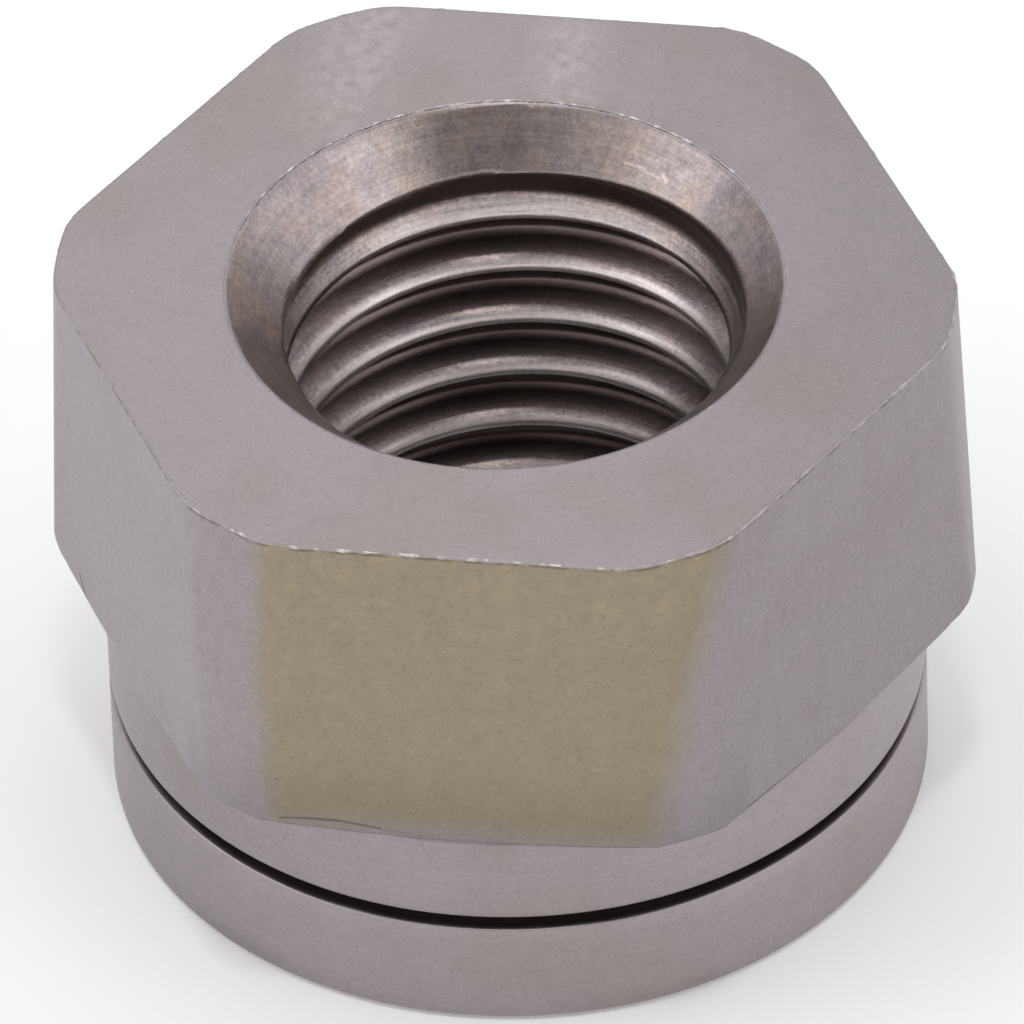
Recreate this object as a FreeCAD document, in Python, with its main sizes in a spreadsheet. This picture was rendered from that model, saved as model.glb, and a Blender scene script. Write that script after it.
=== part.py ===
"""Shaft nut: one piece of hexagon bar, turned to leave a round collar below the hexagon.

The turning trims the hexagon's corners to a slightly tapered outside, leaves a nearly flat
shoulder under them and a plain round collar with one narrow groove. A cone opens the bore at
the top, and a plain chamfer opens it at the seat. The bore has the diameter of the crests of
its left-hand thread. Lengths are in millimetres. The origin is the centre of the seat, +Z
runs up the bore, and two of the six flats face -Y and +Y.
"""
import FreeCAD, Part
import math
import os

import Sketcher

# Driving dimensions: name, value, what it is
DIMENSIONS = [
    ("across_flats", 12.7, "distance between opposite flats of the hexagon"),
    ("overall_height", 9.45, "from the seat to the top face"),
    ("collar_diameter", 12.64, "round collar below the hexagon"),
    ("collar_height", 3.65, "from the seat to the inner edge of the shoulder"),
    ("shoulder_rise", 12.0, "angle by which the shoulder rises outwards, in degrees"),
    ("corner_diameter_low", 14.26, "turned diameter over the corners just above the shoulder"),
    ("corner_diameter_top", 13.82, "turned diameter over the corners at the top face"),
    ("corner_break", 0.22, "break on the lower edge of the corners, at 45 degrees"),
    ("top_break", 0.05, "break on the upper edge of the corners, at 45 degrees"),
    ("seat_break", 0.1, "break on the outer edge of the seat, at 45 degrees"),
    ("groove_height", 1.86, "from the seat to the lower side of the groove"),
    ("groove_width", 0.26, "width of the groove round the collar"),
    ("groove_depth", 0.5, "depth of the groove round the collar"),
    ("bore_diameter", 6.78, "bore, at the crests of the thread"),
    ("countersink_diameter", 8.58, "rim of the cone in the top face"),
    ("countersink_angle", 90.0, "full angle of that cone, in degrees"),
    ("exit_diameter", 8.2, "rim of the chamfer where the bore leaves the seat"),
    ("exit_angle", 90.0, "full angle of that chamfer, in degrees"),
]

doc = FreeCAD.newDocument("shaft_nut")
sheet = doc.addObject("Spreadsheet::Sheet", "Dimensions")
for row, (name, value, note) in enumerate(DIMENSIONS, start=1):
    sheet.set("A%d" % row, name)
    sheet.set("B%d" % row, str(value))
    sheet.set("C%d" % row, note)
    sheet.setAlias("B%d" % row, name)
doc.recompute()


def worked_out(expression):
    """Return an expression's value now, as a starting guess for a sketch's solver."""
    value = sheet.evalExpression(expression)
    return float(getattr(value, "Value", value))


def origin_feature(body, role):
    """Return one plane or axis of the body's own origin."""
    for feature in body.Origin.OriginFeatures:
        if feature.Role == role:
            return feature
    raise ValueError("the body's origin has no %s" % role)


def new_sketch(body, name, role):
    """Add an empty sketch on one of the planes of the body's origin."""
    sketch = body.newObject("Sketcher::SketchObject", name)
    sketch.AttachmentSupport = [(origin_feature(body, role), "")]
    sketch.MapMode = "FlatFace"
    return sketch


def drive(sketch, constraint, name, expression):
    """Add a constraint to the sketch and bind its value to an expression."""
    number = sketch.addConstraint(constraint)
    sketch.renameConstraint(number, name)
    sketch.setExpression("Constraints." + name, expression)


def draw_section(sketch, corners):
    """Draw a closed section, each corner given as its radius and its height.

    Both are expressions on the spreadsheet. None puts the corner on the nut's axis, or on the
    plane of the seat.
    """
    count = len(corners)
    points = []
    for radius, height in corners:
        across = worked_out(radius) if radius else 0
        along = worked_out(height) if height else 0
        points.append(FreeCAD.Vector(across, along, 0))
    for index in range(count):
        sketch.addGeometry(Part.LineSegment(points[index], points[(index + 1) % count]), False)
    for index in range(count):
        following = (index + 1) % count
        sketch.addConstraint(Sketcher.Constraint("Coincident", index, 2, following, 1))
    for index, (radius, height) in enumerate(corners):
        if radius:
            across = Sketcher.Constraint("DistanceX", -1, 1, index, 1, points[index].x)
            drive(sketch, across, "radius_%d" % index, radius)
        else:
            sketch.addConstraint(Sketcher.Constraint("PointOnObject", index, 1, -2))
        if height:
            along = Sketcher.Constraint("DistanceY", -1, 1, index, 1, points[index].y)
            drive(sketch, along, "height_%d" % index, height)
        else:
            sketch.addConstraint(Sketcher.Constraint("PointOnObject", index, 1, -1))


def draw_hexagon(sketch):
    """Draw the bar's regular hexagon, with two sides square to the Y axis."""
    flats = worked_out("Dimensions.across_flats")
    reach = flats / 2 / math.cos(math.pi / 6)
    points = []
    for index in range(6):
        turned = math.pi / 3 * index
        points.append(FreeCAD.Vector(reach * math.cos(turned), reach * math.sin(turned), 0))
    for index in range(6):
        sketch.addGeometry(Part.LineSegment(points[index], points[(index + 1) % 6]), False)
    circle = Part.Circle(FreeCAD.Vector(0, 0, 0), FreeCAD.Vector(0, 0, 1), reach)
    guide = sketch.addGeometry(circle, True)
    sketch.addConstraint(Sketcher.Constraint("Coincident", guide, 3, -1, 1))
    for index in range(6):
        sketch.addConstraint(Sketcher.Constraint("Coincident", index, 2, (index + 1) % 6, 1))
        sketch.addConstraint(Sketcher.Constraint("PointOnObject", index, 1, guide))
    for index in range(1, 6):
        sketch.addConstraint(Sketcher.Constraint("Equal", 0, index))
    sketch.addConstraint(Sketcher.Constraint("PointOnObject", 0, 1, -1))
    across = Sketcher.Constraint("DistanceY", 4, 1, 1, 1, flats)
    drive(sketch, across, "across_flats", "Dimensions.across_flats")


def turned_cut(body, name, corners):
    """Turn away a section all round the nut's axis."""
    sketch = new_sketch(body, name + "_section", "XZ_Plane")
    draw_section(sketch, corners)
    cut = body.newObject("PartDesign::Groove", name)
    cut.Profile = sketch
    cut.ReferenceAxis = (origin_feature(body, "Z_Axis"), [""])
    cut.Angle = 360
    sketch.Visibility = False
    doc.recompute()


nut = doc.addObject("PartDesign::Body", "shaft_nut")
nut.Label = "shaft_nut"
nut.Placement = FreeCAD.Placement()

# The hexagon bar, parted off to length
bar_outline = new_sketch(nut, "bar_outline", "XY_Plane")
draw_hexagon(bar_outline)
bar = nut.newObject("PartDesign::Pad", "bar")
bar.Profile = bar_outline
bar.setExpression("Length", "Dimensions.overall_height")
bar_outline.Visibility = False
doc.recompute()

# The outside: seat edge, collar, shoulder, lower break and taper over the corners
collar = "Dimensions.collar_diameter / 2"
corner_low = "Dimensions.corner_diameter_low / 2"
corner_top = "Dimensions.corner_diameter_top / 2"
shoulder_width = "(%s - Dimensions.corner_break - %s)" % (corner_low, collar)
shoulder_edge = "Dimensions.collar_height + %s * tan(Dimensions.shoulder_rise * 1 deg)" % shoulder_width
turned_cut(nut, "outside", [
    (collar + " - Dimensions.seat_break", None),
    ("Dimensions.across_flats", None),
    ("Dimensions.across_flats", "Dimensions.overall_height"),
    (corner_top + " - Dimensions.top_break", "Dimensions.overall_height"),
    (corner_top, "Dimensions.overall_height - Dimensions.top_break"),
    (corner_low, shoulder_edge + " + Dimensions.corner_break"),
    (corner_low + " - Dimensions.corner_break", shoulder_edge),
    (collar, "Dimensions.collar_height"),
    (collar, "Dimensions.seat_break"),
])

# The narrow square groove round the collar
turned_cut(nut, "collar_groove", [
    (collar + " - Dimensions.groove_depth", "Dimensions.groove_height"),
    ("Dimensions.across_flats", "Dimensions.groove_height"),
    ("Dimensions.across_flats", "Dimensions.groove_height + Dimensions.groove_width"),
    (collar + " - Dimensions.groove_depth", "Dimensions.groove_height + Dimensions.groove_width"),
])

# The bore, with the cone at its top and the chamfer at the seat
bore = "Dimensions.bore_diameter / 2"
cone = "Dimensions.countersink_diameter / 2"
cone_depth = "(%s - %s) / tan(Dimensions.countersink_angle * 0.5 deg)" % (cone, bore)
chamfer = "Dimensions.exit_diameter / 2"
chamfer_depth = "(%s - %s) / tan(Dimensions.exit_angle * 0.5 deg)" % (chamfer, bore)
turned_cut(nut, "bore", [
    (None, None),
    (chamfer, None),
    (bore, chamfer_depth),
    (bore, "Dimensions.overall_height - " + cone_depth),
    (cone, "Dimensions.overall_height"),
    (None, "Dimensions.overall_height"),
])

for item in doc.Objects:
    if "Invalid" in item.State or "Error" in item.State:
        raise RuntimeError("%s did not build: %s" % (item.Name, item.State))
if nut.Shape.isNull() or not nut.Shape.isValid():
    raise RuntimeError("%s has no valid shape" % nut.Label)

os.makedirs("parts", exist_ok=True)
nut.Shape.exportStep("parts/%s.step" % nut.Label)
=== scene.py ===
"""A shaft nut in its studio: the nut's turned, milled and threaded surface and its bare steel."""
import math

import bpy
from mathutils import Matrix, Vector


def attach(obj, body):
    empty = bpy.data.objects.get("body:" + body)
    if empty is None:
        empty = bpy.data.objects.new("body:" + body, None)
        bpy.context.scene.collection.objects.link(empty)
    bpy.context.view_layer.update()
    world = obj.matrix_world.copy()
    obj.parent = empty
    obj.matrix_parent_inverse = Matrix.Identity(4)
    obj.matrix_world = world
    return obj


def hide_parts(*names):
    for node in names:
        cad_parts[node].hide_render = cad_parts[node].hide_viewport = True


bl_info = {
    "name": "Shaft Nut",
    "version": (1, 0, 0),
    "blender": (4, 5, 0),
    "location": "View3D > Sidebar > Shaft Nut",
    "description": "Makes a shaft nut with a left-hand thread, and the studio it stands in",
    "category": "Add Mesh",
}

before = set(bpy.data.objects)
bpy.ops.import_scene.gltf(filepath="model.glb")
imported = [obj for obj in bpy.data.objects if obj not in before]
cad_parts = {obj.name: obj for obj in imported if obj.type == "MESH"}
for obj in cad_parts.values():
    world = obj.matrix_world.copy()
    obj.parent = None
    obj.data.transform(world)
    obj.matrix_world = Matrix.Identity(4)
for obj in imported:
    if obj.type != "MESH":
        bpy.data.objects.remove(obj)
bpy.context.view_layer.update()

MM = 0.001
SIDES = 6
SECTOR = 2 * math.pi / SIDES
SURFACES = ("flats", "collar", "face", "bore", "burr")

# Rows of each grid. The first full crest begins at +X on the bore's START_ROW
OUTSIDE_ROWS = 74
TOP_ROWS = 14
SEAT_ROWS = 8
BORE_ROWS = 163
START_ROW = 123
ROWS_PER_TURN = 16

# The thread's section, downwards from one crest's lower edge, as shares of the pitch
GROOVE_SHARE = 0.875
FLANK_SHARE = 0.3125

# Columns of each half side, closer together where a flat runs into its corner
FLAT_COLUMNS = 10
EDGE_COLUMNS = 16
CORNER_COLUMNS = 2
HALF_SIDE = FLAT_COLUMNS + EDGE_COLUMNS + CORNER_COLUMNS
COLUMNS = 2 * SIDES * HALF_SIDE
COLUMN_PLACES = [
    (0.0, 0.0),
    (FLAT_COLUMNS / HALF_SIDE, math.radians(22)),
    ((FLAT_COLUMNS + EDGE_COLUMNS) / HALF_SIDE, math.radians(28.4)),
    (1.0, SECTOR / 2),
]

# The burrs: even columns, the side of the edge, the inset, the way they face, and a seed
BURR_COLUMNS = 1200
BURR_ROWS = 6
BURR_PLACES = [(0.0, 0.0), (1.0, SECTOR / 2)]
OUTER_BURR = {"side": 1, "inset": 1, "facing": math.radians(-58), "seed": 11}
RIM_BURR = {"side": -1, "inset": 0, "facing": math.radians(105), "seed": 23}

# Marks on the steel, each from a start to an end with a width, in millimetres
# Painted highlight streaks on the top face, behind the bore
FACE_HIGHLIGHT_STREAKS = (
    ((-3.05, 3.6, 9.43), (-2.8, 6.0, 9.43), 1.0),
    ((0.35, 4.5, 9.43), (0.27, 6.0, 9.43), 0.8),
)
FACE_NICK = (
    ((-3.24, -2.76, 9.43), (-3.18, -2.70, 9.43), 0.05),
)
SHOULDER_NICKS = (
    ((-6.55, -1.35, 4.07), (-6.44, -1.54, 3.78), 0.05),
    ((-2.74, -6.33, 3.92), (-2.35, -6.33, 3.95), 0.028),
    ((-2.35, -6.33, 3.95), (-1.82, -6.33, 3.94), 0.034),
    ((-1.82, -6.33, 3.94), (-1.2, -6.33, 3.84), 0.03),
    ((-1.2, -6.33, 3.84), (-0.5, -6.33, 3.74), 0.018),
    ((4.28, -5.27, 3.84), (4.62, -4.68, 3.79), 0.02),
    ((4.62, -4.68, 3.79), (4.95, -4.11, 3.75), 0.013),
)
CONE_SCRATCHES = (
    ((1.38, 3.53, 8.95), (1.72, 3.40, 8.96), 0.03),
    ((1.60, 3.42, 8.95), (1.95, 3.22, 8.94), 0.03),
)
CONE_CHIP = (
    ((2.0, 3.26, 8.99), (2.06, 3.18, 8.93), 0.06),
)

# Tints that the steel's colours take on in places
YELLOWED = (0.9, 0.86, 0.72)
PINKISH = (0.92, 0.84, 0.9)
# Brown patches in the painted reflection on the front flat
REFLECTION_BROWN = (0.46, 0.35, 0.2)
WARM_STAIN = (0.97, 0.87, 0.8)
COOL_STAIN = (0.88, 0.86, 0.95)
# Tan for the painted light on the first turn's flank
TAN_FLANK = (0.62, 0.52, 0.45)

# Lamps: name, place and diameter in metres, and power in watts
LAMPS = (
    ("softbox_left", (-0.42, -0.12, 0.30), 0.3, 0.25),
    ("softbox_right", (0.40, -0.20, 0.30), 0.3, 0.15),
    ("lamp_over", (0.02, -0.10, 0.50), 0.05, 0.25),
)


class Rule:
    """A number or a vector in a node tree, so that a shape's rule reads as a sum."""

    def __init__(self, socket):
        self.socket = socket
        self.tree = socket.id_data

    def math(self, operation, *others):
        node = self.tree.nodes.new("ShaderNodeMath")
        node.operation = operation
        for place, value in zip(node.inputs, (self,) + others):
            feed(self.tree, place, value)
        return Rule(node.outputs[0])

    def __add__(self, other):
        return self.math("ADD", other)

    __radd__ = __add__

    def __mul__(self, other):
        return self.math("MULTIPLY", other)

    __rmul__ = __mul__

    def __sub__(self, other):
        return self.math("SUBTRACT", other)

    def __rsub__(self, other):
        return (self * -1) + other

    def __truediv__(self, other):
        return self.math("DIVIDE", other)

    def __neg__(self):
        return self * -1

    def lowest(self, other):
        return self.math("MINIMUM", other)

    def highest(self, other):
        return self.math("MAXIMUM", other)

    def below(self, other):
        return self.math("LESS_THAN", other)

    def share(self, start, end):
        """0 at start, 1 at end, and held beyond them."""
        return ((self - start) / (end - start)).highest(0).lowest(1)

    def pick(self, zero, one):
        """zero where this is 0, one where it is 1."""
        return self * (one - zero) + zero


def feed(tree, place, value):
    """Give a socket a number, or link a rule to it."""
    if isinstance(value, Rule):
        tree.links.new(value.socket, place)
    else:
        place.default_value = value


def new_node(tree, kind, settings=None, **inputs):
    """Add a node with its settings, and with its inputs given by name."""
    node = tree.nodes.new(kind)
    for name, value in (settings or {}).items():
        setattr(node, name, value)
    for name, value in inputs.items():
        feed(tree, node.inputs[name.replace("_", " ")], value)
    return node


def stations(row, points):
    """Run through values placed along the rows: points are pairs of row and value."""
    value = points[0][1]
    for (start, before), (end, after) in zip(points, points[1:]):
        value = value + (after - before) * row.share(start, end)
    return value


class NutSizes(bpy.types.PropertyGroup):
    """Sizes of the nut."""

    across_flats: bpy.props.FloatProperty(
        name="Across flats", description="Distance between opposite flats",
        default=12.7 * MM, min=0, unit="LENGTH")
    height: bpy.props.FloatProperty(
        name="Height", description="From the seat to the top face",
        default=9.45 * MM, min=0, unit="LENGTH")
    collar: bpy.props.FloatProperty(
        name="Collar", description="Diameter of the collar and the ring below its groove",
        default=12.64 * MM, min=0, unit="LENGTH")
    collar_height: bpy.props.FloatProperty(
        name="Collar height", description="From the seat to the inner edge of the shoulder",
        default=3.65 * MM, min=0, unit="LENGTH")
    shoulder_rise: bpy.props.FloatProperty(
        name="Shoulder rise", description="Angle by which the shoulder rises outwards",
        default=math.radians(12), min=0, subtype="ANGLE")
    corner_low: bpy.props.FloatProperty(
        name="Corners, low", description="Turned diameter over the corners at the shoulder",
        default=14.26 * MM, min=0, unit="LENGTH")
    corner_top: bpy.props.FloatProperty(
        name="Corners, top", description="Turned diameter over the corners at the top face",
        default=13.82 * MM, min=0, unit="LENGTH")
    corner_break: bpy.props.FloatProperty(
        name="Corner break", description="Break on the lower edge of the corners",
        default=0.22 * MM, min=0, unit="LENGTH")
    edge: bpy.props.FloatProperty(
        name="Edges", description="How far the sharp edges are rounded",
        default=0.035 * MM, min=0, unit="LENGTH")
    flat_edge: bpy.props.FloatProperty(
        name="Flat edges", description="How softly each flat runs into the turned corners",
        default=0.25 * MM, min=0, unit="LENGTH")
    groove_height: bpy.props.FloatProperty(
        name="Groove height", description="From the seat to the groove's lower side",
        default=1.86 * MM, min=0, unit="LENGTH")
    groove_width: bpy.props.FloatProperty(
        name="Groove width", description="Width of the groove round the collar",
        default=0.26 * MM, min=0, unit="LENGTH")
    groove_depth: bpy.props.FloatProperty(
        name="Groove depth", description="Depth of the groove round the collar",
        default=0.5 * MM, min=0, unit="LENGTH")
    burr: bpy.props.FloatProperty(
        name="Burr", description="Thickness of the burr left along the top edges",
        default=0.034 * MM, min=0, unit="LENGTH")
    burr_stand: bpy.props.FloatProperty(
        name="Burr stand", description="How far the burr stands out of the faces beside it",
        default=0.018 * MM, min=0, unit="LENGTH")


class ThreadSizes(bpy.types.PropertyGroup):
    """Sizes of the bore and its left-hand thread."""

    bore: bpy.props.FloatProperty(
        name="Bore", description="Diameter at the thread's crests",
        default=6.78 * MM, min=0, unit="LENGTH")
    depth: bpy.props.FloatProperty(
        name="Thread depth", description="From the crests to the roots",
        default=0.579 * MM, min=0, unit="LENGTH")
    pitch: bpy.props.FloatProperty(
        name="Pitch", description="From one turn of the thread to the next",
        default=1.0583 * MM, min=0, unit="LENGTH")
    start: bpy.props.FloatProperty(
        name="Thread start", description="Height of the first full crest's lower edge at +X",
        default=8.084 * MM, min=0, unit="LENGTH")
    crest_lean: bpy.props.FloatProperty(
        name="Crest lean", description="How far the worn crests lean back, as rise over run",
        default=0.7, min=0, max=1.5)
    first_turn: bpy.props.FloatProperty(
        name="First turn", description="Depth of the first turn as a share of the full depth",
        default=0.42, min=0, max=1, subtype="FACTOR")
    cone: bpy.props.FloatProperty(
        name="Cone rim", description="Diameter of the cone in the top face",
        default=8.58 * MM, min=0, unit="LENGTH")
    cone_angle: bpy.props.FloatProperty(
        name="Cone angle", description="Full angle of the cone",
        default=math.radians(90), min=0, subtype="ANGLE")
    exit: bpy.props.FloatProperty(
        name="Exit rim", description="Diameter of the chamfer at the seat",
        default=8.2 * MM, min=0, unit="LENGTH")


class FinishColours(bpy.types.PropertyGroup):
    """Colours of the bare steel and the studio."""

    steel: bpy.props.FloatVectorProperty(
        name="Steel", description="Bare turned steel",
        default=(0.385, 0.345, 0.36), min=0, max=1, subtype="COLOR")
    # Colour of the rubbed crests, bright enough to serve as their painted highlight; it also
    # paints the highlight along the cone's foot
    crest: bpy.props.FloatVectorProperty(
        name="Crests", description="Rubbed crests of the thread",
        default=(1.0, 0.92, 0.91), min=0, max=1, subtype="COLOR")
    flats: bpy.props.FloatVectorProperty(
        name="Flats", description="Bare milled steel of the flats and corners",
        default=(0.348, 0.312, 0.336), min=0, max=1, subtype="COLOR")
    bore: bpy.props.FloatVectorProperty(
        name="Bore steel", description="Bare steel of the cone and the thread's crests",
        default=(0.322, 0.278, 0.276), min=0, max=1, subtype="COLOR")
    # Dark colour for spots of grime, and for painted shade in the thread's roots and the collar's
    # groove
    dirt_and_shade: bpy.props.FloatVectorProperty(
        name="Dirt", description="Dirt in the thread's roots and the groove",
        default=(0.157, 0.118, 0.112), min=0, max=1, subtype="COLOR")
    # Torn bright metal, and painted glints along the top edges
    burr: bpy.props.FloatVectorProperty(
        name="Burr", description="Torn bright metal along the top edges",
        default=(0.8, 0.76, 0.77), min=0, max=1, subtype="COLOR")
    # The straw colour is a painted reflection laid on the front flat
    straw: bpy.props.FloatVectorProperty(
        name="Straw film", description="Faint straw tint on the front flat",
        default=(0.31, 0.267, 0.192), min=0, max=1, subtype="COLOR")
    floor: bpy.props.FloatVectorProperty(
        name="Floor", description="Plain floor",
        default=(0.82, 0.82, 0.82), min=0, max=1, subtype="COLOR")


def add_inputs(tree, sizes):
    """Give a tree one named input for each single float property, and return them by name."""
    kept = {}
    for name, prop in sizes.bl_rna.properties.items():
        if prop.type == "FLOAT" and not prop.is_array:
            kept[name] = tree.interface.new_socket(
                name=prop.name, in_out="INPUT", socket_type="NodeSocketFloat")
            kept[name].description = prop.description
    return kept


class Patch:
    """A grid of columns round the nut's axis and rows along its surface.

    At each of its points angle is the way round the axis, off the angle from the middle of the
    nearest flat, and row the number of the row.
    """

    def __init__(self, tree, rows, columns=COLUMNS, places=COLUMN_PLACES):
        grid = new_node(tree, "GeometryNodeMeshGrid", None, Size_X=1.0, Size_Y=1.0)
        grid.inputs["Vertices X"].default_value = columns + 1
        grid.inputs["Vertices Y"].default_value = rows + 1
        self.tree = tree
        self.mesh = grid.outputs["Mesh"]
        place = new_node(tree, "GeometryNodeInputPosition").outputs[0]
        split = new_node(tree, "ShaderNodeSeparateXYZ", None, Vector=Rule(place))
        across = Rule(split.outputs["X"]) + 0.5
        self.row = (Rule(split.outputs["Y"]) + 0.5) * rows
        side = across * SIDES
        number = side.math("FLOOR")
        local = (side - number - 0.5) * 2
        self.off = stations(local.math("ABSOLUTE"), places)
        self.angle = (number + 0.5) * SECTOR + self.off * local.math("SIGN")

    def shaped(self, radius, height, flip=False):
        """Move the grid to its radius and height round the axis."""
        tree = self.tree
        place = new_node(
            tree, "ShaderNodeCombineXYZ", None,
            X=radius * self.angle.math("COSINE"), Y=radius * self.angle.math("SINE"), Z=height)
        moved = new_node(tree, "GeometryNodeSetPosition", None)
        tree.links.new(self.mesh, moved.inputs["Geometry"])
        tree.links.new(place.outputs[0], moved.inputs["Position"])
        out = moved.outputs[0]
        if flip:
            turned = new_node(tree, "GeometryNodeFlipFaces", None)
            tree.links.new(out, turned.inputs["Mesh"])
            out = turned.outputs["Mesh"]
        return out


def ragged(tree, angle, scale, seed):
    """Uneven values from 0 to 1 round the nut, the same each run."""
    around = new_node(
        tree, "ShaderNodeCombineXYZ", None,
        X=angle.math("COSINE"), Y=angle.math("SINE"), Z=float(seed))
    noise = new_node(
        tree, "ShaderNodeTexNoise", {"noise_dimensions": "3D"},
        Vector=Rule(around.outputs[0]), Scale=scale, Detail=3.0, Roughness=0.6)
    return Rule(noise.outputs[0])


def outside_patch(tree, sizes):
    """The seat's edge, the ring, the groove, the collar, the shoulder, the flats and corners."""
    patch = Patch(tree, OUTSIDE_ROWS)
    edge = sizes["edge"]
    collar = sizes["collar"] / 2
    low = sizes["corner_low"] / 2
    top = sizes["corner_top"] / 2 - sizes["burr_stand"]
    step = sizes["corner_break"]
    sink = stations(patch.row, [(33, 0.3), (70, 1)]) * sizes["burr_stand"]
    flat = (sizes["across_flats"] / 2 - sink) / patch.off.math("COSINE")
    rise = sizes["shoulder_rise"].math("TANGENT")
    lip = flat.lowest(low - step)
    uneven = ragged(tree, patch.angle, scale=9.0, seed=3) * 0.05 * MM
    lip_height = sizes["collar_height"] + (lip - collar) * rise + uneven
    break_foot = sizes["collar_height"] + (low - step - collar) * rise
    # A hair inside the solid's box
    low = low - 0.003 * MM
    groove = sizes["groove_height"]
    groove_top = groove + sizes["groove_width"]
    floor = collar - sizes["groove_depth"]
    high = sizes["height"] - sizes["burr_stand"]
    points = [
        (0, collar - edge * 3, 0),
        (1, collar - edge * 2, edge * 0.3),
        (3, collar - edge * 0.6, edge * 1.4),
        (4, collar - edge * 0.1, edge * 2.2),
        (5, collar, edge * 3),
        (10, collar, groove - edge),
        (11, collar - edge * 0.3, groove - edge * 0.3),
        (12, collar - edge, groove),
        (15, floor, groove),
        (17, floor, groove_top),
        (20, collar - edge, groove_top),
        (21, collar - edge * 0.3, groove_top + edge * 0.3),
        (22, collar, groove_top + edge),
        (27, collar, sizes["collar_height"] - edge),
        (28, collar + edge * 0.2, sizes["collar_height"]),
        (31, lip - edge, lip_height - edge * rise),
        (32, lip - edge * 0.3, lip_height + edge * 0.2),
        (33, lip, lip_height + edge),
        (35, low - step * 0.45, break_foot + step * 0.32),
        (37, low - step * 0.13, break_foot + step * 0.62),
        (39, low, break_foot + step),
        (70, top, high - edge * 2),
        (72, top, high - edge),
        (OUTSIDE_ROWS, top, high),
    ]
    turned = stations(patch.row, [(row, radius) for row, radius, height in points])
    height = stations(patch.row, [(row, height) for row, radius, height in points])
    inset = stations(patch.row, [(71, 0), (72, 0.08), (73, 0.35), (OUTSIDE_ROWS, 1)]) * edge
    round_top = stations(patch.row, [(72, 0), (73, 0.12), (OUTSIDE_ROWS, 0)]) * edge
    softness = stations(patch.row, [(28, 0.01), (33, 0.15), (42, 0.4), (72, 1)])
    radius = turned.math("SMOOTH_MIN", flat, softness * sizes["flat_edge"]) - inset
    return patch.shaped(radius, height + round_top)


def top_outline(patch, sizes):
    """Radius of the top edge: flats that run softly into the turned corners."""
    flat = sizes["across_flats"] / 2 / patch.off.math("COSINE")
    return (sizes["corner_top"] / 2).math("SMOOTH_MIN", flat, sizes["flat_edge"])


def cone_outline(patch, sizes):
    """Radius of the cone's rim in the top face."""
    return sizes["cone"] / 2


def burr_patch(tree, sizes, outline, side, inset, facing, seed):
    """A thin uneven burr along an edge of the top face, side 1 outside it and -1 at the bore.

    Its middle lies inside the outline by the inset, as a share of its thickness.
    It is strongest on the side that faces the given angle, and sinks into the metal elsewhere.
    """
    patch = Patch(tree, BURR_ROWS, BURR_COLUMNS, BURR_PLACES)
    towards = (patch.angle - facing).math("COSINE")
    drops = ragged(tree, patch.angle, scale=34.0, seed=seed) - 0.5
    runs = ragged(tree, patch.angle, scale=6.0, seed=seed + 5) - 0.5
    strength = drops * 2.2 + runs * 1.6 + towards.share(0.15, 0.5) * 0.56 + 0.18
    thick = sizes["burr"] * strength.highest(0.25).lowest(1)
    about = patch.row * (2 * math.pi / BURR_ROWS * side)
    centre = outline(patch, sizes) - sizes["burr"] * inset
    return patch.shaped(
        centre + thick * about.math("SINE"),
        sizes["height"] - sizes["burr"] + thick * about.math("COSINE"))


def top_patch(tree, sizes):
    """The top face, from the outer edge to just inside the cone's rim."""
    patch = Patch(tree, TOP_ROWS)
    edge = sizes["edge"]
    flat = (sizes["across_flats"] / 2 - sizes["burr_stand"]) / patch.off.math("COSINE")
    corner = sizes["corner_top"] / 2 - sizes["burr_stand"]
    outer = corner.math("SMOOTH_MIN", flat, sizes["flat_edge"]) - edge
    rim = sizes["cone"] / 2
    lean = (sizes["cone_angle"] / 2).math("TANGENT")
    high = sizes["height"] - sizes["burr_stand"]
    inner = rim - (edge + sizes["burr_stand"]) * lean
    radius = stations(patch.row, [
        (0, outer), (1, outer - edge), (9, rim + edge * 2), (11, rim + edge * 0.8),
        (12, rim + edge * 0.2), (13, rim - edge * 0.35), (TOP_ROWS, inner)])
    drop = stations(patch.row, [(11, 0), (12, 0.15), (13, 0.5), (TOP_ROWS, 1)]) * edge
    return patch.shaped(radius, high - drop)


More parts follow.
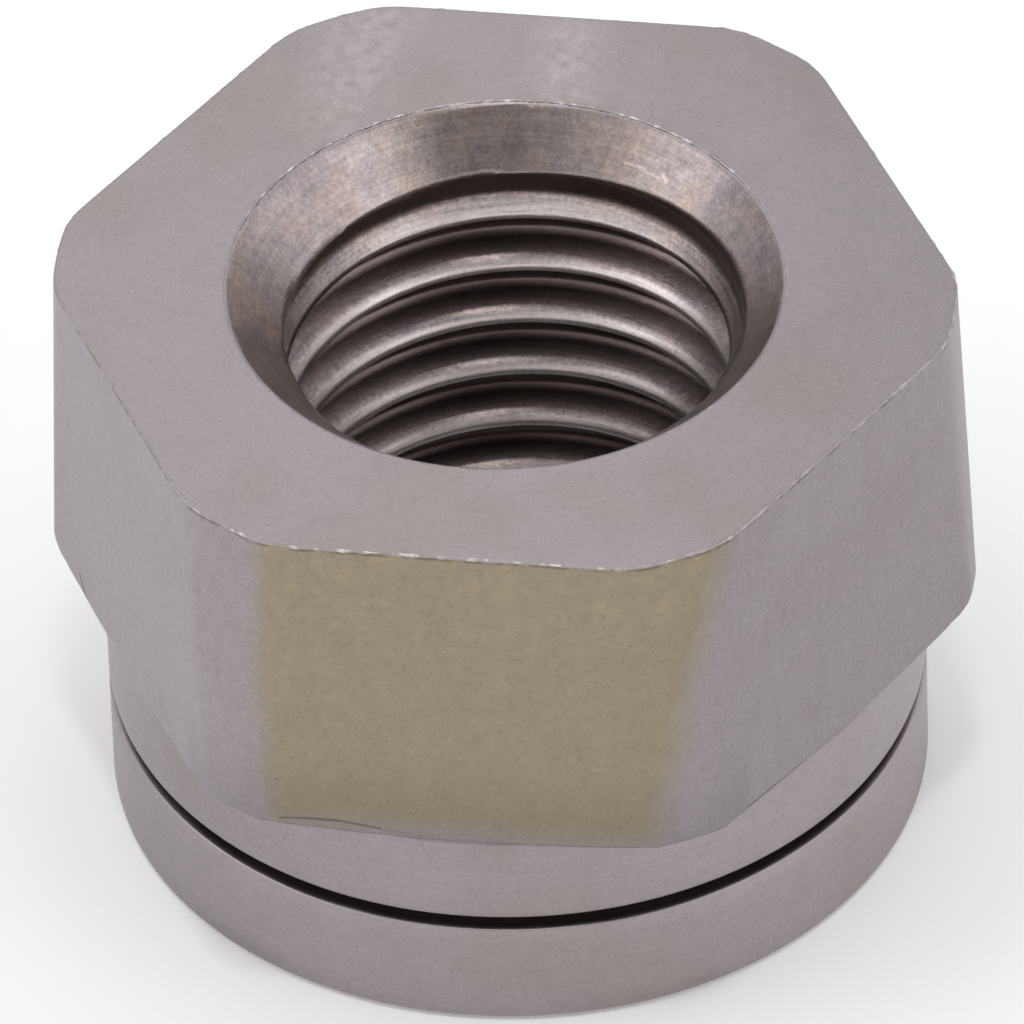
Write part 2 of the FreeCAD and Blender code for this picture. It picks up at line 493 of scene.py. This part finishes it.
def bore_patch(tree, sizes):
    """The cone, the left-hand thread and the seat's chamfer, on rows that follow the thread.

    Rows that come near a sharp bend of the section are moved onto it, so that it stays sharp.
    """
    pitch = sizes["pitch"]
    spacing = pitch / ROWS_PER_TURN
    patch = Patch(tree, BORE_ROWS)
    turn = patch.angle / (2 * math.pi)
    edge = sizes["edge"]
    bore = sizes["bore"] / 2
    lean = (sizes["cone_angle"] / 2).math("TANGENT")
    top = sizes["height"] - sizes["burr_stand"] - edge
    height = sizes["start"] + (patch.row - START_ROW) * spacing - pitch * turn

    def wall(at):
        cone = sizes["cone"] / 2 - (sizes["height"] - at) * lean
        leaving = sizes["exit"] / 2 - at
        return bore.highest(cone).highest(leaving)

    along = (sizes["start"] - pitch * turn - height) / pitch
    number = along.math("FLOOR")
    inside = along - number

    def share_of_depth(turns):
        return sizes["first_turn"] + (1 - sizes["first_turn"]) * turns.share(0.5, 1)

    # How deep the thread is cut, as a share of its depth: flank, root, flank and worn crest
    turns = number + turn + 1
    depth = share_of_depth(turns)
    rising = inside / FLANK_SHARE + depth - 1
    worn = sizes["crest_lean"] * pitch / sizes["depth"]
    leaning = worn * (1 - inside)
    steep = (GROOVE_SHARE - inside) / FLANK_SHARE + worn * (1 - GROOVE_SHARE) + depth - 1
    falling = steep.highest(leaning)
    here = rising.lowest(falling).lowest(depth)
    under = (inside - 1) / FLANK_SHARE + share_of_depth(turns + 1) - 1
    cut = bore + sizes["depth"] * here.highest(under)
    slope = sizes["depth"] / (pitch * FLANK_SHARE)
    upward = rising.below(falling).highest(here.below(under))
    cut_slope = upward.pick(steep.below(leaning).pick(slope, sizes["crest_lean"]), -slope)
    flat_root = depth.below(rising.lowest(falling))
    base = wall(height)
    probe = spacing * 0.25
    base_slope = (wall(height + probe) - wall(height - probe)) / (probe * 2)

    # Move a row onto the place where the thread meets the wall, or onto the wall's own bends
    shift = (cut - base) / (cut_slope - base_slope)
    near = shift.math("ABSOLUTE").below(spacing * 0.5) * (1 - flat_root)
    snapped = height - shift * near
    uncut = (base + edge * 0.2 - cut).below(0).pick(1, 0)
    for bend in (sizes["height"] - (sizes["cone"] / 2 - bore) / lean, sizes["exit"] / 2 - bore):
        on_bend = (height - bend).math("ABSOLUTE").below(spacing * 0.5) * uncut
        snapped = on_bend.pick(snapped, bend)
        near = near.highest(on_bend)
    radius = near.pick(cut.highest(base), wall(snapped))

    # Rows beyond either end of the bore are held at its ends
    held = snapped.highest(edge).lowest(top)
    outside = (snapped - held).math("ABSOLUTE").math("GREATER_THAN", 0)
    radius = outside.pick(radius, wall(held))
    return patch.shaped(radius, held, flip=True)


def seat_patch(tree, sizes):
    """The seat, from just inside the chamfer's rim to the outer edge."""
    patch = Patch(tree, SEAT_ROWS)
    edge = sizes["edge"]
    rim = sizes["exit"] / 2
    outer = sizes["collar"] / 2 - edge * 3
    radius = stations(patch.row, [
        (0, rim - edge), (1, rim - edge * 0.35), (2, rim + edge * 0.2), (3, rim + edge * 0.8),
        (SEAT_ROWS, outer)])
    height = stations(patch.row, [(0, 1), (1, 0.5), (2, 0.15), (3, 0)]) * edge
    return patch.shaped(radius, height)


def nut_tree(nut_sizes, thread_sizes, finishes):
    """Build the tree whose named inputs shape the nut."""
    tree = bpy.data.node_groups.new("nut_surface", "GeometryNodeTree")
    sockets = {}
    sockets.update(add_inputs(tree, nut_sizes))
    sockets.update(add_inputs(tree, thread_sizes))
    tree.interface.new_socket(name="Nut", in_out="OUTPUT", socket_type="NodeSocketGeometry")
    entry = tree.nodes.new("NodeGroupInput")
    rules = {name: Rule(entry.outputs[socket.name]) for name, socket in sockets.items()}
    place = Rule(tree.nodes.new("GeometryNodeInputPosition").outputs[0])
    up = Rule(new_node(tree, "ShaderNodeSeparateXYZ", None, Vector=place).outputs["Z"])
    on_collar = up.below(rules["collar_height"] - rules["edge"])
    flats, collar, face, bore, burr = range(len(SURFACES))
    patches = (
        (outside_patch(tree, rules), on_collar.pick(flats, collar)),
        (top_patch(tree, rules), face),
        (bore_patch(tree, rules), bore),
        (seat_patch(tree, rules), collar),
        (burr_patch(tree, rules, top_outline, **OUTER_BURR), burr),
        (burr_patch(tree, rules, cone_outline, **RIM_BURR), burr))
    joined = tree.nodes.new("GeometryNodeJoinGeometry")
    for patch, surface in patches:
        marked = new_node(
            tree, "GeometryNodeStoreNamedAttribute", {"data_type": "INT", "domain": "FACE"},
            Name="surface", Value=surface)
        tree.links.new(patch, marked.inputs["Geometry"])
        tree.links.new(marked.outputs[0], joined.inputs[0])
    merged = new_node(tree, "GeometryNodeMergeByDistance", None, Distance=0.0008 * MM)
    tree.links.new(joined.outputs[0], merged.inputs["Geometry"])
    smooth = tree.nodes.new("GeometryNodeSetShadeSmooth")
    tree.links.new(merged.outputs[0], smooth.inputs["Geometry"])
    real = tree.nodes.new("GeometryNodeRealizeInstances")
    tree.links.new(smooth.outputs[0], real.inputs[0])
    surface = new_node(
        tree, "GeometryNodeInputNamedAttribute", {"data_type": "INT"}, Name="surface")
    done = real.outputs[0]
    for number, name in enumerate(SURFACES):
        here = new_node(
            tree, "FunctionNodeCompare", {"data_type": "INT", "operation": "EQUAL"})
        # Inputs 2 and 3 are the whole numbers that are compared
        tree.links.new(surface.outputs["Attribute"], here.inputs[2])
        here.inputs[3].default_value = number
        skin = tree.nodes.new("GeometryNodeSetMaterial")
        skin.inputs["Material"].default_value = finishes[name]
        tree.links.new(done, skin.inputs["Geometry"])
        tree.links.new(here.outputs[0], skin.inputs["Selection"])
        done = skin.outputs[0]
    leave = tree.nodes.new("NodeGroupOutput")
    tree.links.new(done, leave.inputs[0])
    return tree, sockets


class Finish:
    """One finish of worn steel, built up in layers from a plain metal shader.

    All start with fine grain, soft blotches and a drift of the colour from pink to yellow.
    """

    def __init__(self, name, colour):
        self.material = bpy.data.materials.new(name)
        self.material.use_nodes = True
        self.tree = self.material.node_tree
        self.shader = self.tree.nodes["Principled BSDF"]
        self.shader.inputs["Metallic"].default_value = 1
        place = self.tree.nodes.new("ShaderNodeTexCoord").outputs["Object"]
        self.place = Rule(place)
        split = new_node(self.tree, "ShaderNodeSeparateXYZ", None, Vector=self.place)
        self.x, self.y, self.z = (Rule(split.outputs[axis]) for axis in "XYZ")
        self.radius = (self.x * self.x + self.y * self.y).math("SQRT")
        base = self.tree.nodes.new("ShaderNodeRGB")
        base.outputs[0].default_value = (*colour, 1)
        self.colour = base.outputs[0]
        self.grain = self.noise(0.04 * MM, 3, 0.7)
        self.blotch = self.noise(0.9 * MM, 3, 0.55)
        mottle = self.noise(0.16 * MM, 3, 0.6)
        drift = self.noise(2.2 * MM, 2, 0.5)
        self.tint(((drift - 0.46) * 2.2).highest(0).lowest(0.3), YELLOWED, "MULTIPLY")
        self.tint(((mottle - 0.55) * 2.4).highest(0).lowest(0.4), PINKISH, "MULTIPLY")
        uneven = (self.blotch - 0.5) * 0.16 + (mottle - 0.5) * 0.26 + (self.grain - 0.5) * 0.46
        self.shade(uneven + 1)
        self.height = self.grain * 0.002 * MM + mottle * 0.003 * MM

    def noise(self, size, detail=3.0, rough=0.6, place=None):
        """Noise from 0 to 1 whose patches are about the given size across."""
        node = new_node(
            self.tree, "ShaderNodeTexNoise", None, Vector=place or self.place,
            Scale=1 / size, Detail=detail, Roughness=rough)
        return Rule(node.outputs[0])

    def stretched(self, x, y, z):
        """A place whose three numbers are given."""
        return Rule(new_node(self.tree, "ShaderNodeCombineXYZ", None, X=x, Y=y, Z=z).outputs[0])

    def tint(self, mask, colour, blend="MIX"):
        """Lay a colour over the finish where the mask is 1."""
        node = self.tree.nodes.new("ShaderNodeMix")
        node.data_type = "RGBA"
        node.blend_type = blend
        # Inputs 6 and 7 are the two colours, and output 2 is the mixed one
        feed(self.tree, node.inputs[0], mask)
        self.tree.links.new(self.colour, node.inputs[6])
        node.inputs[7].default_value = (*colour, 1)
        self.colour = node.outputs[2]

    def shade(self, factor):
        """Make the finish lighter or darker by a factor."""
        node = self.tree.nodes.new("ShaderNodeVectorMath")
        node.operation = "SCALE"
        self.tree.links.new(self.colour, node.inputs[0])
        feed(self.tree, node.inputs["Scale"], factor)
        self.colour = node.outputs[0]

    def stroke(self, start, end, width):
        """1 on a short straight mark between two places, in millimetres, and 0 off it."""
        start, end = Vector(start) * MM, Vector(end) * MM
        along = end - start
        from_start = [self.x - start.x, self.y - start.y, self.z - start.z]
        share = (from_start[0] * along.x + from_start[1] * along.y + from_start[2] * along.z)
        share = (share / along.length_squared).highest(0).lowest(1)
        parts = [value - share * step for value, step in zip(from_start, along)]
        away = (parts[0] * parts[0] + parts[1] * parts[1] + parts[2] * parts[2]).math("SQRT")
        return away.share(width * MM, width * 0.2 * MM)

    def marks(self, strokes):
        """1 on any of several strokes, and 0 off them."""
        masks = [self.stroke(*ends_and_width) for ends_and_width in strokes]
        whole = masks[0]
        for mask in masks[1:]:
            whole = whole.highest(mask)
        return whole

    def relief(self, height):
        """Add to the fine relief, in metres."""
        self.height = self.height + height

    def brushed(self, amount, across):
        """Spread the gloss across the turning marks."""
        self.shader.inputs["Anisotropic"].default_value = amount
        self.tree.links.new(across.socket, self.shader.inputs["Tangent"])

    def done(self, roughness):
        """Join the layers to the shader and return the material."""
        feed(self.tree, self.shader.inputs["Roughness"], roughness)
        self.tree.links.new(self.colour, self.shader.inputs["Base Color"])
        bump = new_node(
            self.tree, "ShaderNodeBump", None, Height=self.height, Strength=1.0, Distance=1.0)
        self.tree.links.new(bump.outputs[0], self.shader.inputs["Normal"])
        return self.material


def face_finish(colours):
    """The turned top face, with rings round the bore, two lighter painted highlight streaks
    behind it, and painted shade to the right.
    """
    finish = Finish("turned_face", colours.steel)
    rings = finish.noise(1.0, 5, 0.7, finish.stretched(
        finish.radius / (0.05 * MM), finish.x / (6 * MM), finish.y / (6 * MM)))
    finish.relief(rings * 0.0012 * MM)
    finish.shade((rings - 0.5) * 0.08 + 1)
    # Two painted highlight streaks behind the bore, and painted shade towards the right
    highlight_streaks = finish.marks(FACE_HIGHLIGHT_STREAKS) * finish.noise(0.22 * MM, 3).share(0.3, 0.65)
    right = (finish.x * 0.9 + finish.y * 0.2).share(1 * MM, 6.5 * MM)
    finish.shade(highlight_streaks * 0.24 - right * 0.16 + 1)
    finish.shade(finish.marks(FACE_NICK) * 0.5 + 1)
    finish.brushed(0.6, finish.stretched(finish.x, finish.y, 0.0))
    return finish.done(finish.blotch * 0.12 + 0.34)


def flat_finish(colours):
    """The milled flats and turned corners, with a straw-coloured painted reflection on the flat
    at -Y.
    """
    finish = Finish("milled_flats", colours.flats)
    streaks = finish.noise(1.0, 4, 0.6, finish.stretched(
        finish.x / (0.12 * MM), finish.y / (0.12 * MM), finish.z / (1.6 * MM)))
    finish.shade((streaks - 0.5) * 0.12 + 1)

    # The painted reflection's edges wander a little, and its right-hand one leans outwards to the
    # top
    wander = (finish.noise(0.7 * MM, 3) - 0.5) * 0.35 * MM
    along = finish.x + wander
    up = finish.z.share(3.9 * MM, 9.4 * MM)
    left = along.share(-3.05 * MM, -2.75 * MM) * 0.75 + along.share(-3.7 * MM, -3.0 * MM) * 0.25
    right = along.share(3.4 * MM + up * 0.9 * MM, 2.7 * MM + up * 1.15 * MM)
    front = finish.y.share(-5.1 * MM, -5.4 * MM)
    low = (finish.z + wander * 0.5).share(3.6 * MM, 4.2 * MM)
    # A straw-coloured painted reflection on the front flat, with brown patches high up
    painted_reflection = left * right * front * low
    finish.tint(painted_reflection, colours.straw)
    patches = finish.noise(0.35 * MM, 3) - 0.5
    high = finish.z.share(6.5 * MM, 9.2 * MM)
    finish.tint(patches.highest(0) * painted_reflection * high * 1.1, REFLECTION_BROWN)

    # Speckle all over, a little weaker off the painted reflection, and dark specks on it
    coarse = finish.noise(0.11 * MM, 3, 0.7) - 0.5
    fine = finish.noise(0.05 * MM, 2, 0.7) - 0.5
    speckle = coarse * 0.3 + fine * 0.3
    specks = finish.noise(0.09 * MM, 2, 0.6).share(0.64, 0.72)
    finish.shade(speckle * painted_reflection + patches * painted_reflection * 0.2 + (1 - painted_reflection) * speckle * 0.9 + 1)
    finish.shade(specks * painted_reflection * -0.16 + 1)

    # Darker low on the front; painted shade in a broken line under the burr and towards the
    # right-hand corner
    finish.shade(finish.z.share(5.4 * MM, 3.9 * MM) * front * -0.16 + 1)
    under = finish.z.share(9.34 * MM, 9.37 * MM) * finish.z.share(9.42 * MM, 9.395 * MM)
    finish.shade(under * finish.noise(0.3 * MM, 2).share(0.42, 0.55) * -0.35 + 1)
    finish.shade((finish.x * 0.87 - finish.y * 0.5).share(5.2 * MM, 6.3 * MM) * -0.07 + 1)
    nicks = finish.marks(SHOULDER_NICKS)
    finish.shade(nicks * -0.6 + 1)
    finish.relief(streaks * 0.0015 * MM - nicks * 0.012 * MM)
    return finish.done(finish.blotch * 0.14 + 0.38)


def collar_finish(colours):
    """The turned collar and ring, painted lighter on the right and darker on the left and low
    down, with painted shade in the groove.
    """
    finish = Finish("turned_collar", colours.steel)
    lines = finish.noise(1.0, 4, 0.7, finish.stretched(
        finish.x / (3.5 * MM), finish.y / (3.5 * MM), finish.z / (0.06 * MM)))
    finish.shade((lines - 0.5) * 0.2 + 1)
    finish.relief(lines * 0.002 * MM)
    ring = finish.z.share(1.9 * MM, 1.7 * MM)
    left = finish.x.share(-2.5 * MM, -6.0 * MM)
    right = finish.x.share(2.5 * MM, 5.0 * MM)
    low = finish.z.share(0.6 * MM, 0.1 * MM)
    # Painted light on the right, and painted shade on the left and near the seat
    finish.shade(right * 0.1 - left * 0.1 + ring * 0.02 - low * 0.04 + 0.95)
    # Painted shade in the groove
    in_groove = finish.radius.share(6.30 * MM, 6.22 * MM) * finish.z.share(1.8 * MM, 1.84 * MM)
    finish.tint(in_groove * 0.9, colours.dirt_and_shade)
    return finish.done(finish.blotch * 0.14 + 0.36)


def bore_finish(colours, nut, thread):
    """The cone and the thread: turning lines and upright smears, with grime and painted shade in
    the turns.
    """
    finish = Finish("turned_bore", colours.bore)

    # Inside runs from 0 to 1 over each turn, downwards, and back is 1 on the wall in full view
    turn = (finish.y.math("ARCTAN2", finish.x) / (2 * math.pi)).math("FRACT")
    along = (thread.start - finish.z) / thread.pitch - turn
    number = along.math("FLOOR")
    inside = along - number
    cone_foot = nut.height - (thread.cone - thread.bore) / 2 / math.tan(thread.cone_angle / 2)
    below_cone = finish.z.share(cone_foot + 0.02 * MM, cone_foot - 0.02 * MM)
    shallow = number.below(-0.5)
    full = 1 - shallow
    back = (finish.y * 0.988 - finish.x * 0.156) / finish.radius

    # Grime and painted shade in the roots, less on the near side, and bright crests with a
    # painted highlight, on the first turn stronger at the back
    dirt_and_shade = inside.share(0.87, 0.76) * full + inside.share(0.68, 0.6) * shallow
    dirt_and_shade = dirt_and_shade * (back.share(0.3, 0.92) * 0.5 + 0.5 - shallow * back.share(0.95, 0.6) * 0.4)
    first_crest = inside.share(0.68, 0.95) * shallow * (back.share(0.8, 1.0) * 0.5 + 0.35)
    crest = (inside.share(0.84, 0.93) * full + first_crest) * below_cone

    # Lines round the cone, smears up and down it, and lines that follow the thread
    lines = finish.noise(1.0, 5, 0.7, finish.stretched(
        finish.x / (2.5 * MM), finish.y / (2.5 * MM), (finish.z + finish.radius) / (0.07 * MM)))
    smears = finish.noise(1.0, 4, 0.6, finish.stretched(
        finish.x / (0.16 * MM), finish.y / (0.16 * MM), finish.z / (2.5 * MM)))
    turned = finish.noise(1.0, 4, 0.75, finish.stretched(
        (finish.x + finish.z * 0.4) / (1.2 * MM), (finish.y - finish.z * 0.4) / (1.2 * MM),
        inside * thread.pitch / (0.05 * MM)))
    rough = finish.noise(0.07 * MM, 3, 0.75)
    stains = finish.noise(0.9 * MM, 4, 0.6)
    along_cone = (lines - 0.5) * 0.8 + (smears - 0.5) * 0.8
    finish.shade(along_cone + (turned - 0.5) * below_cone * 1.4 + 1)
    finish.shade((rough - 0.5) * (below_cone + 0.9) + (stains - 0.5) * 0.35 + 1)
    finish.tint(stains.share(0.48, 0.62) * 0.6, WARM_STAIN, "MULTIPLY")
    finish.tint(stains.share(0.5, 0.36) * 0.5, COOL_STAIN, "MULTIPLY")
    # Painted light on the back left of the cone, and painted shade on the right of the bore
    light_side = ((finish.y * 0.6 - finish.x * 0.8) / finish.radius).share(0.84, 1.0)
    right = finish.x.share(2.6 * MM, 4.1 * MM)
    finish.shade(light_side * (1 - below_cone) * 0.45 - right * 0.3 + 1)
    finish.relief(lines * 0.001 * MM)

    # Rubbed crests with a painted highlight, painted light in tan on the first turn's flank at
    # the sides, and a painted highlight along the cone's foot
    finish.tint(crest * (turned * 1.5 + rough * 0.5 - 0.2).lowest(1), colours.crest)
    # Painted light, in tan, on the first turn's flank at the sides
    tan = inside.share(0.72, 0.64) * shallow * below_cone * back.share(0.93, 0.7)
    finish.tint(tan * 0.8, TAN_FLANK)
    # A painted highlight along the cone's foot, strongest at the back
    foot = (finish.z - cone_foot).math("ABSOLUTE").share(0.045 * MM, 0.015 * MM)
    broken = (turned * 1.6 - 0.2).highest(0).lowest(1)
    finish.tint(foot * back.share(0.2, 0.9) * broken * 0.6, colours.crest)

    # Spots of grime, and the roots' grime and painted shade, over all that, and scratches on the
    # cone
    spots = finish.noise(0.2 * MM, 4, 0.7).share(0.66, 0.74)
    finish.tint(spots * 0.5, colours.dirt_and_shade)
    patchy = (finish.noise(0.5 * MM, 3) * 0.3 + 0.72 + turned * 0.1).lowest(0.93)
    finish.tint(dirt_and_shade * below_cone * patchy, colours.dirt_and_shade)
    finish.shade(finish.marks(CONE_SCRATCHES) * 0.5 + finish.marks(CONE_CHIP) * 0.7 + 1)
    finish.brushed(0.4, finish.stretched(finish.x, finish.y, finish.radius))
    return finish.done(finish.blotch * 0.1 + crest * 0.1 + 0.24)


def burr_finish(colours):
    """Torn metal along the top edges, bright in places with painted glints, weaker on the left
    and right.
    """
    finish = Finish("torn_edge", colours.steel)
    right = finish.x.share(2.2 * MM, 4.0 * MM)
    left = finish.x.share(-3.6 * MM, -4.4 * MM)
    # Bright spots, partly torn metal and partly painted glints, weaker on the right and left
    bright = finish.noise(0.22 * MM, 3, 0.6).share(0.5, 0.68)
    finish.tint(bright * (1 - right * 0.6 - left * 0.8).highest(0), colours.burr)
    return finish.done(finish.grain * 0.2 + 0.3)


class OBJECT_OT_shaft_nut(bpy.types.Operator):
    """Make the nut with its flats, collar, groove, cone and thread"""

    bl_idname = "object.shaft_nut"
    bl_label = "Shaft nut"

    def execute(self, context):
        nut_sizes, thread_sizes = context.scene.nut_sizes, context.scene.thread_sizes
        colours = context.scene.finish_colours
        finishes = {
            "flats": flat_finish(colours),
            "collar": collar_finish(colours),
            "face": face_finish(colours),
            "bore": bore_finish(colours, nut_sizes, thread_sizes),
            "burr": burr_finish(colours),
        }
        tree, sockets = nut_tree(nut_sizes, thread_sizes, finishes)
        maker = bpy.data.objects.new("nut_maker", bpy.data.meshes.new("nut_maker"))
        context.collection.objects.link(maker)
        shaping = maker.modifiers.new("nut", "NODES")
        shaping.node_group = tree
        for sizes in (nut_sizes, thread_sizes):
            for name in sizes.bl_rna.properties.keys():
                if name in sockets:
                    shaping[sockets[name].identifier] = getattr(sizes, name)
        graph = context.evaluated_depsgraph_get()
        mesh = bpy.data.meshes.new_from_object(maker.evaluated_get(graph))
        bpy.data.objects.remove(maker)
        if not mesh.polygons:
            raise RuntimeError("the nut has no faces")
        nut = bpy.data.objects.new("nut", mesh)
        context.collection.objects.link(nut)
        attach(nut, "root")
        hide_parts("shaft_nut")
        return {"FINISHED"}


class SCENE_OT_nut_studio(bpy.types.Operator):
    """Make the floor, the light and the camera"""

    bl_idname = "scene.nut_studio"
    bl_label = "Studio"

    def execute(self, context):
        scene = context.scene
        scene.view_settings.view_transform = "Standard"
        make_floor(context, scene.finish_colours)
        make_light(context)
        make_camera(context)
        return {"FINISHED"}


def make_floor(context, colours):
    """Lay the plain floor: white to the camera, shadowed by the nut, and clear from below."""
    size = 3.0
    mesh = bpy.data.meshes.new("floor")
    # Just below the seat, so that the two faces don't lie in one plane
    level = -0.01 * MM
    corners = [(x * size, y * size, level) for x, y in ((-1, -1), (1, -1), (1, 1), (-1, 1))]
    mesh.from_pydata(corners, [], [(0, 1, 2, 3)])
    floor = bpy.data.objects.new("floor", mesh)
    context.collection.objects.link(floor)
    material = bpy.data.materials.new("floor")
    material.use_nodes = True
    tree = material.node_tree
    shader = tree.nodes["Principled BSDF"]
    shader.inputs["Roughness"].default_value = 0.9
    shader.inputs["Specular IOR Level"].default_value = 0
    path = tree.nodes.new("ShaderNodeLightPath")
    seen = Rule(path.outputs["Is Camera Ray"])
    for ray in ("Is Glossy Ray", "Is Transmission Ray"):
        seen = seen.highest(Rule(path.outputs[ray]))
    mix = tree.nodes.new("ShaderNodeMix")
    mix.data_type = "RGBA"
    tree.links.new(seen.socket, mix.inputs["Factor"])
    mix.inputs[6].default_value = (*colours.floor, 1)
    mix.inputs[7].default_value = (1, 1, 1, 1)
    tree.links.new(mix.outputs[2], shader.inputs["Base Color"])
    # Light reaches the seat from below, through the floor, when the nut is seen from there
    below = Rule(tree.nodes.new("ShaderNodeNewGeometry").outputs["Backfacing"])
    from_seat = Rule(path.outputs["Ray Length"]).below(0.1 * MM)
    clear = tree.nodes.new("ShaderNodeMixShader")
    feed(tree, clear.inputs[0], below.highest(from_seat))
    tree.links.new(shader.outputs[0], clear.inputs[1])
    tree.links.new(tree.nodes.new("ShaderNodeBsdfTransparent").outputs[0], clear.inputs[2])
    tree.links.new(clear.outputs[0], tree.nodes["Material Output"].inputs["Surface"])
    mesh.materials.append(material)


def make_light(context):
    """Light the nut evenly, with a broad dark patch above on the camera's side, and low down."""
    world = bpy.data.worlds.new("studio")
    world.use_nodes = True
    tree = world.node_tree
    way = Rule(tree.nodes.new("ShaderNodeTexCoord").outputs["Generated"])
    split = new_node(tree, "ShaderNodeSeparateXYZ", None, Vector=way)
    x, y, z = (Rule(split.outputs[axis]) for axis in "XYZ")
    turn = math.radians(8.9)
    ahead = x * math.sin(turn) - y * math.cos(turn)
    aside = (x * math.cos(turn) + y * math.sin(turn) - 0.05).math("ABSOLUTE")
    band = (z - 0.75).math("ABSOLUTE").share(0.22, 0.07)
    band = band * aside.share(0.66, 0.15) * ahead.share(0.0, 0.2)
    low = z.share(0.36, 0.02) * (z + 0.01).share(0, 0.01)
    light = 1.02 - band * 0.9 - low * 0.35 - x * 0.06
    feed(tree, tree.nodes["Background"].inputs["Strength"], light)
    tree.nodes["Background"].inputs["Color"].default_value = (1, 1, 1, 1)
    context.scene.world = world
    for name, place, size, power in LAMPS:
        lamp = bpy.data.lights.new(name, "AREA")
        lamp.shape = "DISK"
        lamp.size = size
        lamp.energy = power
        holder = bpy.data.objects.new(name, lamp)
        context.collection.objects.link(holder)
        holder.location = place
        holder.rotation_euler = Vector(place).to_track_quat("Z", "Y").to_euler()


def make_camera(context):
    """Set the camera at the photograph's angle, far off behind a long lens."""
    aim = Vector((0, 0, 4.773 * MM))
    distance, sideways = 294.6 * MM, 0.012007 * MM
    turn, lift, roll = math.radians(8.925), math.radians(41.49), math.radians(2.009)
    level = math.cos(lift)
    back = Vector((math.sin(turn) * level, -math.cos(turn) * level, math.sin(lift)))
    data = bpy.data.cameras.new("camera")
    data.sensor_width = 36
    data.lens = 674.3
    data.clip_start = 0.01
    camera = bpy.data.objects.new("camera", data)
    context.collection.objects.link(camera)
    upright = back.to_track_quat("Z", "Y").to_matrix().to_4x4()
    leaned = upright @ Matrix.Rotation(-roll, 4, "Z")
    across = leaned.col[0].to_3d() * sideways
    camera.matrix_world = Matrix.Translation(aim + back * distance - across) @ leaned
    context.scene.camera = camera


class VIEW3D_PT_shaft_nut(bpy.types.Panel):
    """Lists the nut's sizes and the makers of its parts"""

    bl_label = "Shaft Nut"
    bl_idname = "VIEW3D_PT_shaft_nut"
    bl_space_type = "VIEW_3D"
    bl_region_type = "UI"
    bl_category = "Shaft Nut"

    def draw(self, context):
        scene = context.scene
        for group in (scene.nut_sizes, scene.thread_sizes, scene.finish_colours):
            for name, prop in group.bl_rna.properties.items():
                if prop.type == "FLOAT":
                    self.layout.prop(group, name)
        self.layout.operator("object.shaft_nut")
        self.layout.operator("scene.nut_studio")


CLASSES = (
    NutSizes,
    ThreadSizes,
    FinishColours,
    OBJECT_OT_shaft_nut,
    SCENE_OT_nut_studio,
    VIEW3D_PT_shaft_nut,
)


def register():
    """Add the classes, and the groups of sizes and colours to the scene."""
    for part in CLASSES:
        bpy.utils.register_class(part)
    bpy.types.Scene.nut_sizes = bpy.props.PointerProperty(type=NutSizes)
    bpy.types.Scene.thread_sizes = bpy.props.PointerProperty(type=ThreadSizes)
    bpy.types.Scene.finish_colours = bpy.props.PointerProperty(type=FinishColours)


def unregister():
    """Take away what register added."""
    del bpy.types.Scene.nut_sizes
    del bpy.types.Scene.thread_sizes
    del bpy.types.Scene.finish_colours
    for part in reversed(CLASSES):
        bpy.utils.unregister_class(part)


def main():
    """Make the nut and its studio."""
    register()
    bpy.ops.object.shaft_nut()
    bpy.ops.scene.nut_studio()


if __name__ == "__main__":
    main()
